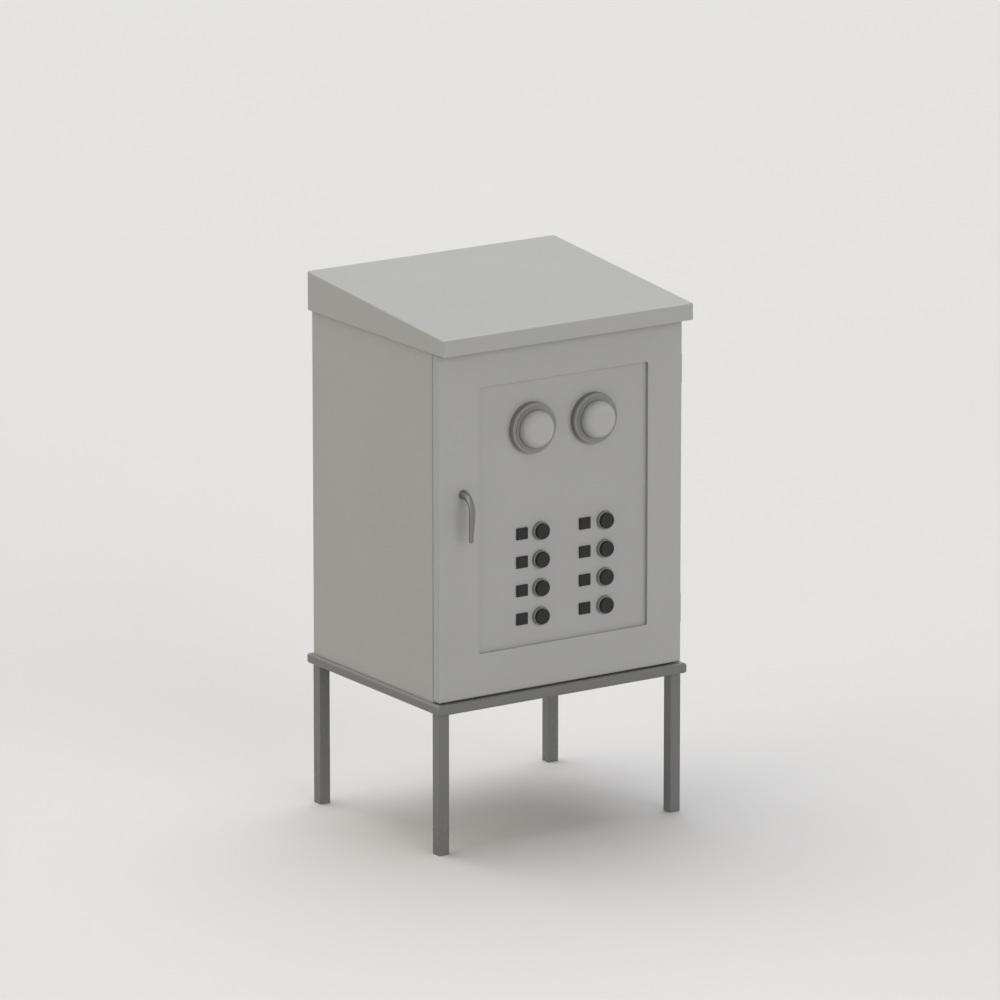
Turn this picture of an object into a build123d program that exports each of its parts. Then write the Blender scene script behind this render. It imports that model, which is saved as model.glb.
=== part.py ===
from build123d import *
import os
from math import radians, sin

# Cabinet: overall sizes in millimetres
CABINET_WIDTH = 600.0
CABINET_DEPTH = 480.0
SHELL_SHOWN_HEIGHT = 736.5
SHEET = 2.0
BEND_RADIUS = 3.0
CUT_OVERRUN = 5.0

# Legs and their plugs
LEG_LENGTH = 300.0
LEG_SIZE = 25.0
LEG_WALL = 2.0
LEG_CORNER_RADIUS = 1.2
PLUG_DEPTH = 18.0
PLUG_BASE = 3.0
PLUG_WALL = 2.5

# Base frame of mitred hollow rails
RAIL_HEIGHT = 22.5
RAIL_MARGIN = 3.5
RAIL_WALL = 2.5
RAIL_EDGE_RADIUS = 6.0
FRAME_SIDE_OVERHANG = 7.0
FRAME_END_OVERHANG = 11.5
FRAME_BOLT_INSET = 60.0
RAIL_WIDTH = FRAME_END_OVERHANG + LEG_SIZE + RAIL_MARGIN

# Rain roof
ROOF_FRONT_HEIGHT = 35.0
ROOF_REAR_HEIGHT = 82.5
ROOF_SIDE_OVERHANG = 7.0
ROOF_FRONT_OVERHANG = 30.5
ROOF_REAR_OVERHANG = 5.0
ROOF_EDGE_RADIUS = 3.5
ROOF_OVERLAP = 20.0
POST_RADIUS = 10.0
POST_INSET = 60.0
POST_HOLE_DEPTH = 16.0

# Bolts, nuts and screws
BOLT_RADIUS = 4.0
BOLT_HOLE_CLEARANCE = 0.5
BOLT_LENGTH = 14.0
BOLT_HEAD_FLATS = 13.0
BOLT_HEAD_HEIGHT = 5.3
NUT_HEIGHT = 6.5
THREAD_CLEARANCE = 0.1
SCREW_RADIUS = 2.5
SCREW_LENGTH = 8.0
SCREW_HEAD_RADIUS = 4.5
SCREW_HEAD_HEIGHT = 3.0
SCREW_HOLE_CLEARANCE = 0.3

# Shell floor and gland plate
GLAND_OPENING_WIDTH = 360.0
GLAND_OPENING_DEPTH = 220.0
GLAND_PLATE_LAP = 20.0
GLAND_SCREW_INSET = 9.0

# Door
DOOR_DEPTH = 20.0
DOOR_SEAM = 2.0
DOOR_GAP_BELOW = 2.0
DOOR_GAP_ABOVE = 3.0
DOOR_EDGE_RADIUS = 3.2
RECESS_LEFT_MARGIN = 98.0
RECESS_RIGHT_MARGIN = 85.0
RECESS_TOP_MARGIN = 79.5
RECESS_BOTTOM_MARGIN = 91.0
RECESS_DEPTH = 8.0
RECESS_CORNER_RADIUS = 5.0
RECESS_EDGE_RADIUS = 1.5

# Front flange of the shell and the door gasket that closes on its lip
FLANGE_WIDTH = 25.0
GASKET_THICKNESS = 8.0
GASKET_WIDTH = 12.0
GASKET_CLEARANCE = 0.3

# Hinges
HINGE_INSET = 110.0
KNUCKLE_RADIUS = 6.0
KNUCKLE_GAP = 1.0
KNUCKLE_LENGTH = 30.0
LEAF_THICKNESS = 3.0
LEAF_REACH = 28.0
LEAF_MARGIN = 3.0
PIN_RADIUS = 3.0
PIN_CLEARANCE = 0.05
PIN_COLLAR_RADIUS = 5.5
PIN_COLLAR_HEIGHT = 1.5
PIN_TIP_GAP = 4.0
KNUCKLE_PLAY = 0.1

# Handle and latch
HANDLE_INSET = 59.0
HANDLE_RISE = 68.3
ROSE_RADIUS = 10.0
ROSE_THICKNESS = 3.0
ROSE_EDGE_RADIUS = 1.0
BUSH_RADIUS = 7.5
BUSH_LENGTH = 12.0
BUSH_HOLE_CLEARANCE = 0.2
BUSH_NUT_FLATS = 22.0
BUSH_NUT_HEIGHT = 4.0
SPINDLE_RADIUS = 5.0
SPINDLE_SQUARE = 6.8
SPINDLE_FIT = 0.05
SOCKET_DEPTH = 8.0
LEVER_PLAY = 0.3
LEVER_BEND_RADIUS = 31.0
LEVER_BEND_ANGLE = 94.0
LEVER_GRIP_LENGTH = 62.5
LEVER_ROOT_RADIUS = 9.2
LEVER_NECK_RADIUS = 7.4
LEVER_ELBOW_RADIUS = 6.4
LEVER_GRIP_RADIUS = 6.2
LEVER_END_RADIUS = 4.3
LEVER_END_ROUNDING = 2.2
LEVER_SECTION_SHARES = (0.0, 0.1, 0.24, 0.5, 1.0)
CAM_THICKNESS = 3.0
CAM_WIDTH = 18.0
CAM_OVERLAP = 12.0
CAM_CLEARANCE = 1.0
CAM_SCREW_RADIUS = 2.0
CAM_SCREW_DEPTH = 9.0
CAM_SCREW_HEAD_RADIUS = 6.0
CAM_SCREW_HEAD_HEIGHT = 3.0

# Signal lamps
LAMP_SPACING = 151.0
LAMP_DROP = 101.5
LAMP_BEZEL_RADIUS = 53.5
LAMP_BEZEL_HEIGHT = 14.0
LAMP_BEZEL_EDGE_RADIUS = 2.5
LAMP_BEZEL_FACE = 8.0
LAMP_COLLAR_RADIUS = LAMP_BEZEL_RADIUS - LAMP_BEZEL_FACE
LAMP_COLLAR_RISE = 1.5
LAMP_COLLAR_WIDTH = 6.0
LAMP_SEAT_RADIUS = LAMP_COLLAR_RADIUS - LAMP_COLLAR_WIDTH
LAMP_SEAT_HEIGHT = 6.0
LAMP_SEAT_LEDGE = 1.5
LAMP_SKIRT_RADIUS = LAMP_SEAT_RADIUS - LAMP_SEAT_LEDGE
LAMP_SKIRT_WALL = 3.0
LAMP_SKIRT_LENGTH = 16.0
LAMP_HOLE_CLEARANCE = 0.5
LENS_CLEARANCE = 0.3
LENS_RADIUS = LAMP_SEAT_RADIUS - LENS_CLEARANCE
LENS_HEIGHT = 40.0
LENS_SHOULDER_RADIUS = 18.0
LENS_CROWN_RISE = 1.2
LENS_WALL = 2.5
HOUSING_FLANGE = 8.0
HOUSING_RADIUS = LAMP_SKIRT_RADIUS + HOUSING_FLANGE
HOUSING_LENGTH = 46.0
HOUSING_WALL = 3.0
HOUSING_FIT = 0.2
HOUSING_TERMINAL_WIDTH = 30.0
HOUSING_TERMINAL_HEIGHT = 14.0
HOUSING_TERMINAL_LENGTH = 10.0
BOARD_MARGIN = 6.0
BOARD_RADIUS = LAMP_SKIRT_RADIUS - BOARD_MARGIN
BOARD_THICKNESS = 1.6
EMITTER_RADIUS = 9.0
EMITTER_HEIGHT = 5.0

# Push buttons and the plates beside them
BUTTON_ROWS = 4
BUTTON_ROW_PITCH = 60.3
BUTTON_BOTTOM_RISE = 57.0
BUTTON_COLUMN_SHIFT = 27.0
BUTTON_COLUMN_SPACING = 159.0
BUTTON_BEZEL_RADIUS = 19.5
BUTTON_BEZEL_HEIGHT = 6.0
BUTTON_BEZEL_CHAMFER = 1.0
BUTTON_SEAT_HEIGHT = 1.2
BUTTON_RING_WIDTH = 3.4
BUTTON_CAP_RADIUS = BUTTON_BEZEL_RADIUS - BUTTON_RING_WIDTH
BUTTON_CAP_HEIGHT = 13.0
BUTTON_CAP_EDGE_RADIUS = 1.4
BUTTON_CAP_CLEARANCE = 0.3
BUTTON_CAP_LAP = 0.5
BUTTON_TRAVEL = 4.0
BUTTON_STEM_GAP = 0.5
BUTTON_NECK_STEP = 1.0
BUTTON_NECK_RADIUS = BUTTON_CAP_RADIUS - BUTTON_NECK_STEP
BUTTON_NECK_LENGTH = 24.0
BUTTON_HOLE_CLEARANCE = 0.3
BUTTON_NECK_WALL = 3.5
BUTTON_STEM_RADIUS = BUTTON_NECK_RADIUS - BUTTON_NECK_WALL
BUTTON_STEM_CLEARANCE = 0.3
BUTTON_NUT_STEP = 4.5
BUTTON_NUT_RADIUS = BUTTON_NECK_RADIUS + BUTTON_NUT_STEP
BUTTON_NUT_HEIGHT = 5.0
CONTACT_WIDTH = 30.0
CONTACT_HEIGHT = 42.0
CONTACT_LENGTH = 36.0
CONTACT_EDGE = 2.0
CONTACT_WELL_WIDTH = 7.0
CONTACT_WELL_SPACING = 28.0
CONTACT_WELL_DEPTH = 4.0
LEGEND_WIDTH = 26.5
LEGEND_HEIGHT = 24.0
LEGEND_THICKNESS = 6.0
LEGEND_CHAMFER = 2.0
LEGEND_COLUMN_SHIFT = -21.2
LEGEND_COLUMN_SPACING = 155.0

# Mounting plate on studs
PLATE_INSET = 22.0
PLATE_THICKNESS = 2.5
PLATE_CORNER_RADIUS = 6.0
PLATE_STUD_INSET = 30.0
STUD_FOOT_RADIUS = 8.0
STUD_FOOT_LENGTH = 20.0
STUD_THREAD_LENGTH = 16.0

# Mounting rails of top-hat section
HAT_WIDTH = 35.0
HAT_CROWN = 27.0
HAT_DEPTH = 7.5
HAT_SHEET = 1.0
HAT_INSET = 30.0
HAT_SPACING = 300.0
HAT_SCREW_INSET = 25.0

# Devices clipped on the rails
CLAW_GAP = 0.2
CLAW_HEIGHT = 4.0
CLAW_THICKNESS = 1.6
CLAW_BITE = 1.5
BREAKER_WIDTH = 54.0
BREAKER_HEIGHT = 86.0
BREAKER_DEPTH = 48.0
BREAKER_NOSE_HEIGHT = 45.0
BREAKER_NOSE_DEPTH = 68.0
BREAKER_POLES = 3
BREAKER_GROOVE = 1.2
TOGGLE_RADIUS = 8.0
TOGGLE_LENGTH = 40.0
TOGGLE_SETBACK = 3.0
TOGGLE_CLEARANCE = 0.4
TOGGLE_REACH = 18.0
TOGGLE_THICKNESS = 4.0
TOGGLE_ANGLE = 30.0
RELAY_COUNT = 8
RELAY_WIDTH = 22.0
RELAY_HEIGHT = 78.0
RELAY_DEPTH = 34.0
RELAY_NOSE_HEIGHT = 40.0
RELAY_NOSE_DEPTH = 62.0
RELAY_PITCH = 26.0
TERMINAL_COUNT = 20
TERMINAL_WIDTH = 7.6
TERMINAL_HEIGHT = 58.0
TERMINAL_DEPTH = 26.0
TERMINAL_NOSE_HEIGHT = 30.0
TERMINAL_NOSE_DEPTH = 42.0
TERMINAL_PITCH = 8.0
DEVICE_INSET = 36.0
DEVICE_GAP = 12.0

# Places that follow from the sizes
HALF_WIDTH = CABINET_WIDTH / 2
HANDLE_REACH = ROSE_THICKNESS + LEVER_PLAY + LEVER_BEND_RADIUS + LEVER_ELBOW_RADIUS
DOOR_FACE = (HANDLE_REACH - FRAME_END_OVERHANG - CABINET_DEPTH) / 2
DOOR_REAR = DOOR_FACE + DOOR_DEPTH
SHELL_FRONT = DOOR_REAR + DOOR_SEAM
SHELL_REAR = DOOR_FACE + CABINET_DEPTH
SHELL_BOTTOM = LEG_LENGTH + RAIL_HEIGHT
SKIRT_BOTTOM = SHELL_BOTTOM + SHELL_SHOWN_HEIGHT
SHELL_TOP = SKIRT_BOTTOM + ROOF_OVERLAP
DOOR_BOTTOM = SHELL_BOTTOM + DOOR_GAP_BELOW
DOOR_TOP = SKIRT_BOTTOM - DOOR_GAP_ABOVE
DOOR_MIDDLE = (DOOR_BOTTOM + DOOR_TOP) / 2
OPENING_HALF = HALF_WIDTH - FLANGE_WIDTH
OPENING_BOTTOM = DOOR_BOTTOM + FLANGE_WIDTH
OPENING_TOP = DOOR_TOP - FLANGE_WIDTH
LIP_FRONT = DOOR_FACE + SHEET + GASKET_THICKNESS + GASKET_CLEARANCE
RECESS_FLOOR = DOOR_FACE + RECESS_DEPTH
RECESS_X = (RECESS_LEFT_MARGIN - HALF_WIDTH, HALF_WIDTH - RECESS_RIGHT_MARGIN)
RECESS_Z = (DOOR_BOTTOM + RECESS_BOTTOM_MARGIN, DOOR_TOP - RECESS_TOP_MARGIN)
RECESS_SHIFT = (RECESS_X[0] + RECESS_X[1]) / 2
HINGE_X = HALF_WIDTH + KNUCKLE_GAP + KNUCKLE_RADIUS
HINGE_Y = DOOR_REAR + DOOR_SEAM / 2
HINGE_LEVELS = (DOOR_BOTTOM + HINGE_INSET, DOOR_TOP - HINGE_INSET)
HANDLE_X = HANDLE_INSET - HALF_WIDTH
HANDLE_Z = DOOR_MIDDLE + HANDLE_RISE
CAM_FRONT = SHELL_FRONT + SHEET + CAM_CLEARANCE
CAM_REACH = HANDLE_INSET - FLANGE_WIDTH + CAM_OVERLAP
LAMP_Z = RECESS_Z[1] - LAMP_DROP
LAMP_PLACES = (RECESS_SHIFT - LAMP_SPACING / 2, RECESS_SHIFT + LAMP_SPACING / 2)
BUTTON_MIDDLE = RECESS_SHIFT + BUTTON_COLUMN_SHIFT
BUTTON_COLUMNS = (
    BUTTON_MIDDLE - BUTTON_COLUMN_SPACING / 2,
    BUTTON_MIDDLE + BUTTON_COLUMN_SPACING / 2,
)
BUTTON_LEVELS = [
    RECESS_Z[0] + BUTTON_BOTTOM_RISE + row * BUTTON_ROW_PITCH for row in reversed(range(BUTTON_ROWS))
]
BUTTON_PLACES = [(x, z) for z in BUTTON_LEVELS for x in BUTTON_COLUMNS]
LEGEND_MIDDLE = RECESS_SHIFT + LEGEND_COLUMN_SHIFT
LEGEND_COLUMNS = (
    LEGEND_MIDDLE - LEGEND_COLUMN_SPACING / 2,
    LEGEND_MIDDLE + LEGEND_COLUMN_SPACING / 2,
)
LEGEND_PLACES = [(x, z) for z in BUTTON_LEVELS for x in LEGEND_COLUMNS]
PLATE_WIDTH = 2 * (OPENING_HALF - PLATE_INSET)
PLATE_HEIGHT = OPENING_TOP - OPENING_BOTTOM - 2 * PLATE_INSET
PLATE_REAR = SHELL_REAR - SHEET - STUD_FOOT_LENGTH
PLATE_FRONT = PLATE_REAR - PLATE_THICKNESS
STUD_PLACES = [
    (x, DOOR_MIDDLE + z)
    for x in (PLATE_STUD_INSET - PLATE_WIDTH / 2, PLATE_WIDTH / 2 - PLATE_STUD_INSET)
    for z in (PLATE_STUD_INSET - PLATE_HEIGHT / 2, PLATE_HEIGHT / 2 - PLATE_STUD_INSET)
]
HAT_LEVELS = (DOOR_MIDDLE - HAT_SPACING / 2, DOOR_MIDDLE + HAT_SPACING / 2)
HAT_FRONT = PLATE_FRONT - HAT_DEPTH
HAT_LENGTH = PLATE_WIDTH - 2 * HAT_INSET
DEVICE_START = DEVICE_INSET - HAT_LENGTH / 2
BREAKER_PLACE = DEVICE_START + BREAKER_WIDTH / 2
RELAY_PLACE = DEVICE_START + BREAKER_WIDTH + DEVICE_GAP + RELAY_WIDTH / 2
TERMINAL_PLACE = DEVICE_START + TERMINAL_WIDTH / 2
FRAME_WIDTH = CABINET_WIDTH + 2 * FRAME_SIDE_OVERHANG
FRAME_DEPTH = CABINET_DEPTH + 2 * FRAME_END_OVERHANG
FRAME_MIDDLE = DOOR_FACE + CABINET_DEPTH / 2
FRAME_BOLT_PLACES = [
    (x * (FRAME_WIDTH / 2 - RAIL_WIDTH / 2), y)
    for x in (-1, 1)
    for y in (SHELL_FRONT + FRAME_BOLT_INSET, SHELL_REAR - FRAME_BOLT_INSET)
]
POST_PLACES = [
    (x * (HALF_WIDTH - POST_INSET), y)
    for x in (-1, 1)
    for y in (SHELL_FRONT + POST_INSET, SHELL_REAR - POST_INSET)
]
GLAND_MIDDLE = (SHELL_FRONT + SHELL_REAR) / 2
GLAND_PLATE_WIDTH = GLAND_OPENING_WIDTH + 2 * GLAND_PLATE_LAP
GLAND_PLATE_DEPTH = GLAND_OPENING_DEPTH + 2 * GLAND_PLATE_LAP
GLAND_SCREW_REACH_X = GLAND_PLATE_WIDTH / 2 - GLAND_SCREW_INSET
GLAND_SCREW_REACH_Y = GLAND_PLATE_DEPTH / 2 - GLAND_SCREW_INSET
GLAND_SCREW_PLACES = [
    (x * GLAND_SCREW_REACH_X, GLAND_MIDDLE + y * GLAND_SCREW_REACH_Y)
    for x in (-1, 0, 1)
    for y in (-1, 0, 1)
    if x or y
]


def slab(x, y, z):
    """Block between two limits along each axis."""
    limits = (x, y, z)
    size = [high - low for low, high in limits]
    middle = [(high + low) / 2 for low, high in limits]
    return Pos(*middle) * Box(*size)


def bar_z(radius, x, y, z):
    """Upright round bar between two levels."""
    return Pos(x, y, (z[0] + z[1]) / 2) * Cylinder(radius, z[1] - z[0])


def bar_y(radius, x, y, z):
    """Round bar along the depth between two limits."""
    return Pos(x, (y[0] + y[1]) / 2, z) * Rot(X=90) * Cylinder(radius, y[1] - y[0])


def hexagon(flats, height):
    """Six-sided block standing on its own base plane."""
    return extrude(RegularPolygon(flats / 2, 6, major_radius=False), height)


def turned(points, x, y, z):
    """Turned piece: radius and height forward of the plane at y, about an axis along the depth."""
    outline = make_face(Polyline(*points, close=True))
    return Pos(x, y, z) * Rot(Z=180) * revolve(outline, Axis.Y)


def joined(pieces):
    """Group of separate equal pieces."""
    return Compound(children=[piece.solid() for piece in pieces])


def cabinet_wrap():
    """Side walls, rear wall, front flanges and lips folded from one sheet."""
    middle = SHEET / 2
    side = HALF_WIDTH - middle
    lip = OPENING_HALF + middle
    front = SHELL_FRONT + middle
    rear = SHELL_REAR - middle
    path = FilletPolyline(
        (-lip, LIP_FRONT),
        (-lip, front),
        (-side, front),
        (-side, rear),
        (side, rear),
        (side, front),
        (lip, front),
        (lip, LIP_FRONT),
        radius=BEND_RADIUS,
    )
    sheet = Pos(0, 0, SHELL_BOTTOM) * extrude(trace(path, line_width=SHEET), SHELL_TOP - SHELL_BOTTOM)
    across = (-HALF_WIDTH, HALF_WIDTH)
    ahead = (LIP_FRONT - CUT_OVERRUN, SHELL_FRONT)
    sheet -= slab(across, ahead, (SHELL_BOTTOM - CUT_OVERRUN, OPENING_BOTTOM - SHEET))
    sheet -= slab(across, ahead, (OPENING_TOP + SHEET, SHELL_TOP + CUT_OVERRUN))
    return sheet


def end_sheet(inner_level, outer_level):
    """Shell end: level plate with a folded front flange and lip."""
    front = SHELL_FRONT + SHEET / 2
    path = FilletPolyline(
        (LIP_FRONT, inner_level),
        (front, inner_level),
        (front, outer_level),
        (front + SHEET + 2 * BEND_RADIUS, outer_level),
        radius=BEND_RADIUS,
    )
    fold = extrude(Plane.YZ * trace(path, line_width=SHEET), OPENING_HALF, both=True)
    plate = slab(
        (SHEET - HALF_WIDTH, HALF_WIDTH - SHEET),
        (SHELL_FRONT + SHEET + BEND_RADIUS, SHELL_REAR - SHEET),
        (outer_level - SHEET / 2, outer_level + SHEET / 2),
    )
    return fold + fillet(plate.edges().filter_by(Axis.Z), BEND_RADIUS)


def cabinet_top():
    """Top sheet with holes for the roof bolts."""
    sheet = end_sheet(OPENING_TOP + SHEET / 2, SHELL_TOP - SHEET / 2)
    through = (SHELL_TOP - CUT_OVERRUN, SHELL_TOP + CUT_OVERRUN)
    for x, y in POST_PLACES:
        sheet -= bar_z(BOLT_RADIUS + BOLT_HOLE_CLEARANCE, x, y, through)
    return sheet


def cabinet_floor():
    """Floor sheet with the gland opening and the frame bolt holes."""
    sheet = end_sheet(OPENING_BOTTOM - SHEET / 2, SHELL_BOTTOM + SHEET / 2)
    through = (SHELL_BOTTOM - CUT_OVERRUN, SHELL_BOTTOM + CUT_OVERRUN)
    sheet -= slab(
        (-GLAND_OPENING_WIDTH / 2, GLAND_OPENING_WIDTH / 2),
        (GLAND_MIDDLE - GLAND_OPENING_DEPTH / 2, GLAND_MIDDLE + GLAND_OPENING_DEPTH / 2),
        through,
    )
    for x, y in FRAME_BOLT_PLACES:
        sheet -= bar_z(BOLT_RADIUS + BOLT_HOLE_CLEARANCE, x, y, through)
    for x, y in GLAND_SCREW_PLACES:
        sheet -= bar_z(SCREW_RADIUS + SCREW_HOLE_CLEARANCE, x, y, through)
    return sheet


def gland_plate():
    """Removable plate over the cable opening."""
    low = SHELL_BOTTOM + SHEET
    plate = slab(
        (-GLAND_PLATE_WIDTH / 2, GLAND_PLATE_WIDTH / 2),
        (GLAND_MIDDLE - GLAND_PLATE_DEPTH / 2, GLAND_MIDDLE + GLAND_PLATE_DEPTH / 2),
        (low, low + SHEET),
    )
    plate = fillet(plate.edges().filter_by(Axis.Z), GLAND_SCREW_INSET / 2)
    for x, y in GLAND_SCREW_PLACES:
        plate -= bar_z(SCREW_RADIUS + SCREW_HOLE_CLEARANCE, x, y, (low - CUT_OVERRUN, low + CUT_OVERRUN))
    return plate


def pan_screw():
    """Pan-head screw: head above its base plane, shank below."""
    head = bar_z(SCREW_HEAD_RADIUS, 0, 0, (0, SCREW_HEAD_HEIGHT))
    return head + bar_z(SCREW_RADIUS, 0, 0, (-SCREW_LENGTH, 0))


def gland_screws():
    """Screws that hold the gland plate."""
    level = SHELL_BOTTOM + 2 * SHEET
    return joined([Pos(x, y, level) * pan_screw() for x, y in GLAND_SCREW_PLACES])


def hex_bolt():
    """Hexagon bolt: head above its base plane, shank below."""
    return hexagon(BOLT_HEAD_FLATS, BOLT_HEAD_HEIGHT) + bar_z(BOLT_RADIUS, 0, 0, (-BOLT_LENGTH, 0))


def hex_nut():
    """Hexagon nut standing on its base plane."""
    bore = bar_z(BOLT_RADIUS + THREAD_CLEARANCE, 0, 0, (-CUT_OVERRUN, NUT_HEIGHT + CUT_OVERRUN))
    return hexagon(BOLT_HEAD_FLATS, NUT_HEIGHT) - bore


def roof_solid(inset):
    """Wedge of the roof, drawn in from its outside by an inset."""
    front = DOOR_FACE - ROOF_FRONT_OVERHANG
    rear = SHELL_REAR + ROOF_REAR_OVERHANG
    slope = (ROOF_REAR_HEIGHT - ROOF_FRONT_HEIGHT) / (rear - front)
    drop = inset * (1 + slope * slope) ** 0.5
    front_top = SKIRT_BOTTOM + ROOF_FRONT_HEIGHT + slope * inset - drop
    rear_top = SKIRT_BOTTOM + ROOF_REAR_HEIGHT - slope * inset - drop
    outline = make_face(
        Polyline(
            (front + inset, SKIRT_BOTTOM),
            (front + inset, front_top),
            (rear - inset, rear_top),
            (rear - inset, SKIRT_BOTTOM),
            close=True,
        )
    )
    wedge = extrude(Plane.YZ * outline, HALF_WIDTH + ROOF_SIDE_OVERHANG - inset, both=True)
    bottom = wedge.edges().group_by(Axis.Z)[0]
    return fillet(wedge.edges() - bottom, ROOF_EDGE_RADIUS - inset)


def rain_roof():
    """Hollow folded roof with a skirt all round."""
    return roof_solid(0) - roof_solid(SHEET)


def roof_posts():
    """Posts welded under the roof, cut to its slope."""
    posts = []
    bore = (SHELL_TOP - CUT_OVERRUN, SHELL_TOP + POST_HOLE_DEPTH)
    for x, y in POST_PLACES:
        post = bar_z(POST_RADIUS, x, y, (SHELL_TOP, SKIRT_BOTTOM + ROOF_REAR_HEIGHT))
        post -= bar_z(BOLT_RADIUS + THREAD_CLEARANCE, x, y, bore)
        posts.append(post & roof_solid(SHEET))
    return joined(posts)


def roof_bolts():
    """Bolts from inside the shell up into the roof posts."""
    level = SHELL_TOP - SHEET
    return joined([Pos(x, y, level) * Rot(X=180) * hex_bolt() for x, y in POST_PLACES])


def rail_section(inset):
    """Section of a base rail, drawn in from its outside by an inset."""
    return RectangleRounded(RAIL_WIDTH - 2 * inset, RAIL_HEIGHT - 2 * inset, RAIL_EDGE_RADIUS - inset)


def base_rails():
    """Four hollow rails, mitred at the corners of the frame."""
    section = rail_section(0) - rail_section(RAIL_WALL)
    half_x = FRAME_WIDTH / 2
    half_y = FRAME_DEPTH / 2
    along_x = extrude(Plane.YZ * section, half_x, both=True)
    along_y = extrude(Plane.XZ * section, half_y, both=True)
    bars = {
        "front": Pos(0, RAIL_WIDTH / 2 - half_y) * along_x,
        "right": Pos(half_x - RAIL_WIDTH / 2, 0) * along_y,
        "rear": Pos(0, half_y - RAIL_WIDTH / 2) * along_x,
        "left": Pos(RAIL_WIDTH / 2 - half_x, 0) * along_y,
    }
    corners = [(-half_x, -half_y), (half_x, -half_y), (half_x, half_y), (-half_x, half_y)]
    inner = [
        (x - RAIL_WIDTH * x / half_x, y - RAIL_WIDTH * y / half_y)
        for x, y in corners
    ]
    top = (SHELL_BOTTOM - RAIL_WALL - CUT_OVERRUN, SHELL_BOTTOM + CUT_OVERRUN)
    rails = {}
    for index, name in enumerate(bars):
        following = (index + 1) % len(corners)
        plan = make_face(
            Polyline(corners[index], corners[following], inner[following], inner[index], close=True)
        )
        mitred = bars[name] & extrude(plan, RAIL_HEIGHT / 2, both=True)
        rail = Pos(0, FRAME_MIDDLE, LEG_LENGTH + RAIL_HEIGHT / 2) * mitred
        for x, y in FRAME_BOLT_PLACES:
            rail -= bar_z(BOLT_RADIUS + BOLT_HOLE_CLEARANCE, x, y, top)
        rails["base_rail_" + name] = rail
    return rails


def frame_bolts():
    """Bolts through the floor sheet into the side rails."""
    return joined([Pos(x, y, SHELL_BOTTOM + SHEET) * hex_bolt() for x, y in FRAME_BOLT_PLACES])


def frame_nuts():
    """Weld nuts inside the side rails."""
    level = SHELL_BOTTOM - RAIL_WALL
    return joined([Pos(x, y, level) * Rot(X=180) * hex_nut() for x, y in FRAME_BOLT_PLACES])


def leg_places():
    """Leg middles by name, flush with the shell's outside."""
    half = LEG_SIZE / 2
    rows = {"front": DOOR_FACE + half, "rear": SHELL_REAR - half}
    sides = {"left": half - HALF_WIDTH, "right": HALF_WIDTH - half}
    return {f"{row}_{side}": (x, y) for row, y in rows.items() for side, x in sides.items()}


def leg(x, y):
    """Square tube leg."""
    outer = RectangleRounded(LEG_SIZE, LEG_SIZE, LEG_CORNER_RADIUS)
    return Pos(x, y, 0) * extrude(outer - leg_bore(), LEG_LENGTH)


def leg_bore():
    """Section of the hollow of a leg."""
    width = LEG_SIZE - 2 * LEG_WALL
    return Rectangle(width, width)


def leg_plugs():
    """Plugs in the open leg ends, flush with the floor."""
    plugs = []
    for x, y in leg_places().values():
        plug = extrude(leg_bore(), PLUG_DEPTH)
        width = LEG_SIZE - 2 * LEG_WALL - 2 * PLUG_WALL
        plug -= slab((-width / 2, width / 2), (-width / 2, width / 2), (PLUG_BASE, PLUG_DEPTH + CUT_OVERRUN))
        plugs.append(Pos(x, y, 0) * plug)
    return joined(plugs)


def door_holes():
    """Bores through the door for lamps, buttons and the handle bush."""
    through = (RECESS_FLOOR - CUT_OVERRUN, RECESS_FLOOR + SHEET + CUT_OVERRUN)
    radius = LAMP_SKIRT_RADIUS + LAMP_HOLE_CLEARANCE
    bores = [bar_y(radius, x, through, LAMP_Z) for x in LAMP_PLACES]
    radius = BUTTON_NECK_RADIUS + BUTTON_HOLE_CLEARANCE
    bores += [bar_y(radius, x, through, z) for x, z in BUTTON_PLACES]
    through = (DOOR_FACE - CUT_OVERRUN, DOOR_FACE + SHEET + CUT_OVERRUN)
    bores.append(bar_y(BUSH_RADIUS + BUSH_HOLE_CLEARANCE, HANDLE_X, through, HANDLE_Z))
    return bores


def recess_block(margin, depth):
    """Block of the pressed recess, grown by a margin and ending at a depth behind the face."""
    block = slab(
        (RECESS_X[0] - margin, RECESS_X[1] + margin),
        (DOOR_FACE, DOOR_FACE + depth),
        (RECESS_Z[0] - margin, RECESS_Z[1] + margin),
    )
    block = fillet(block.edges().filter_by(Axis.Y), RECESS_CORNER_RADIUS + margin)
    floor = block.edges().group_by(Axis.Y)[-1]
    return fillet(floor, RECESS_EDGE_RADIUS + margin)


def door_panel():
    """Door pan with returned edges and a pressed recess."""
    pan = slab((-HALF_WIDTH, HALF_WIDTH), (DOOR_FACE, DOOR_REAR), (DOOR_BOTTOM, DOOR_TOP))
    pan = fillet(pan.edges() - pan.edges().group_by(Axis.Y)[-1], DOOR_EDGE_RADIUS)
    hollow = slab(
        (SHEET - HALF_WIDTH, HALF_WIDTH - SHEET),
        (DOOR_FACE + SHEET, DOOR_REAR + CUT_OVERRUN),
        (DOOR_BOTTOM + SHEET, DOOR_TOP - SHEET),
    )
    hollow = fillet(hollow.edges() - hollow.edges().group_by(Axis.Y)[-1], DOOR_EDGE_RADIUS - SHEET)
    panel = pan - (hollow - recess_block(SHEET, RECESS_DEPTH + SHEET)) - recess_block(0, RECESS_DEPTH)
    for bore in door_holes():
        panel -= bore
    return panel


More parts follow.
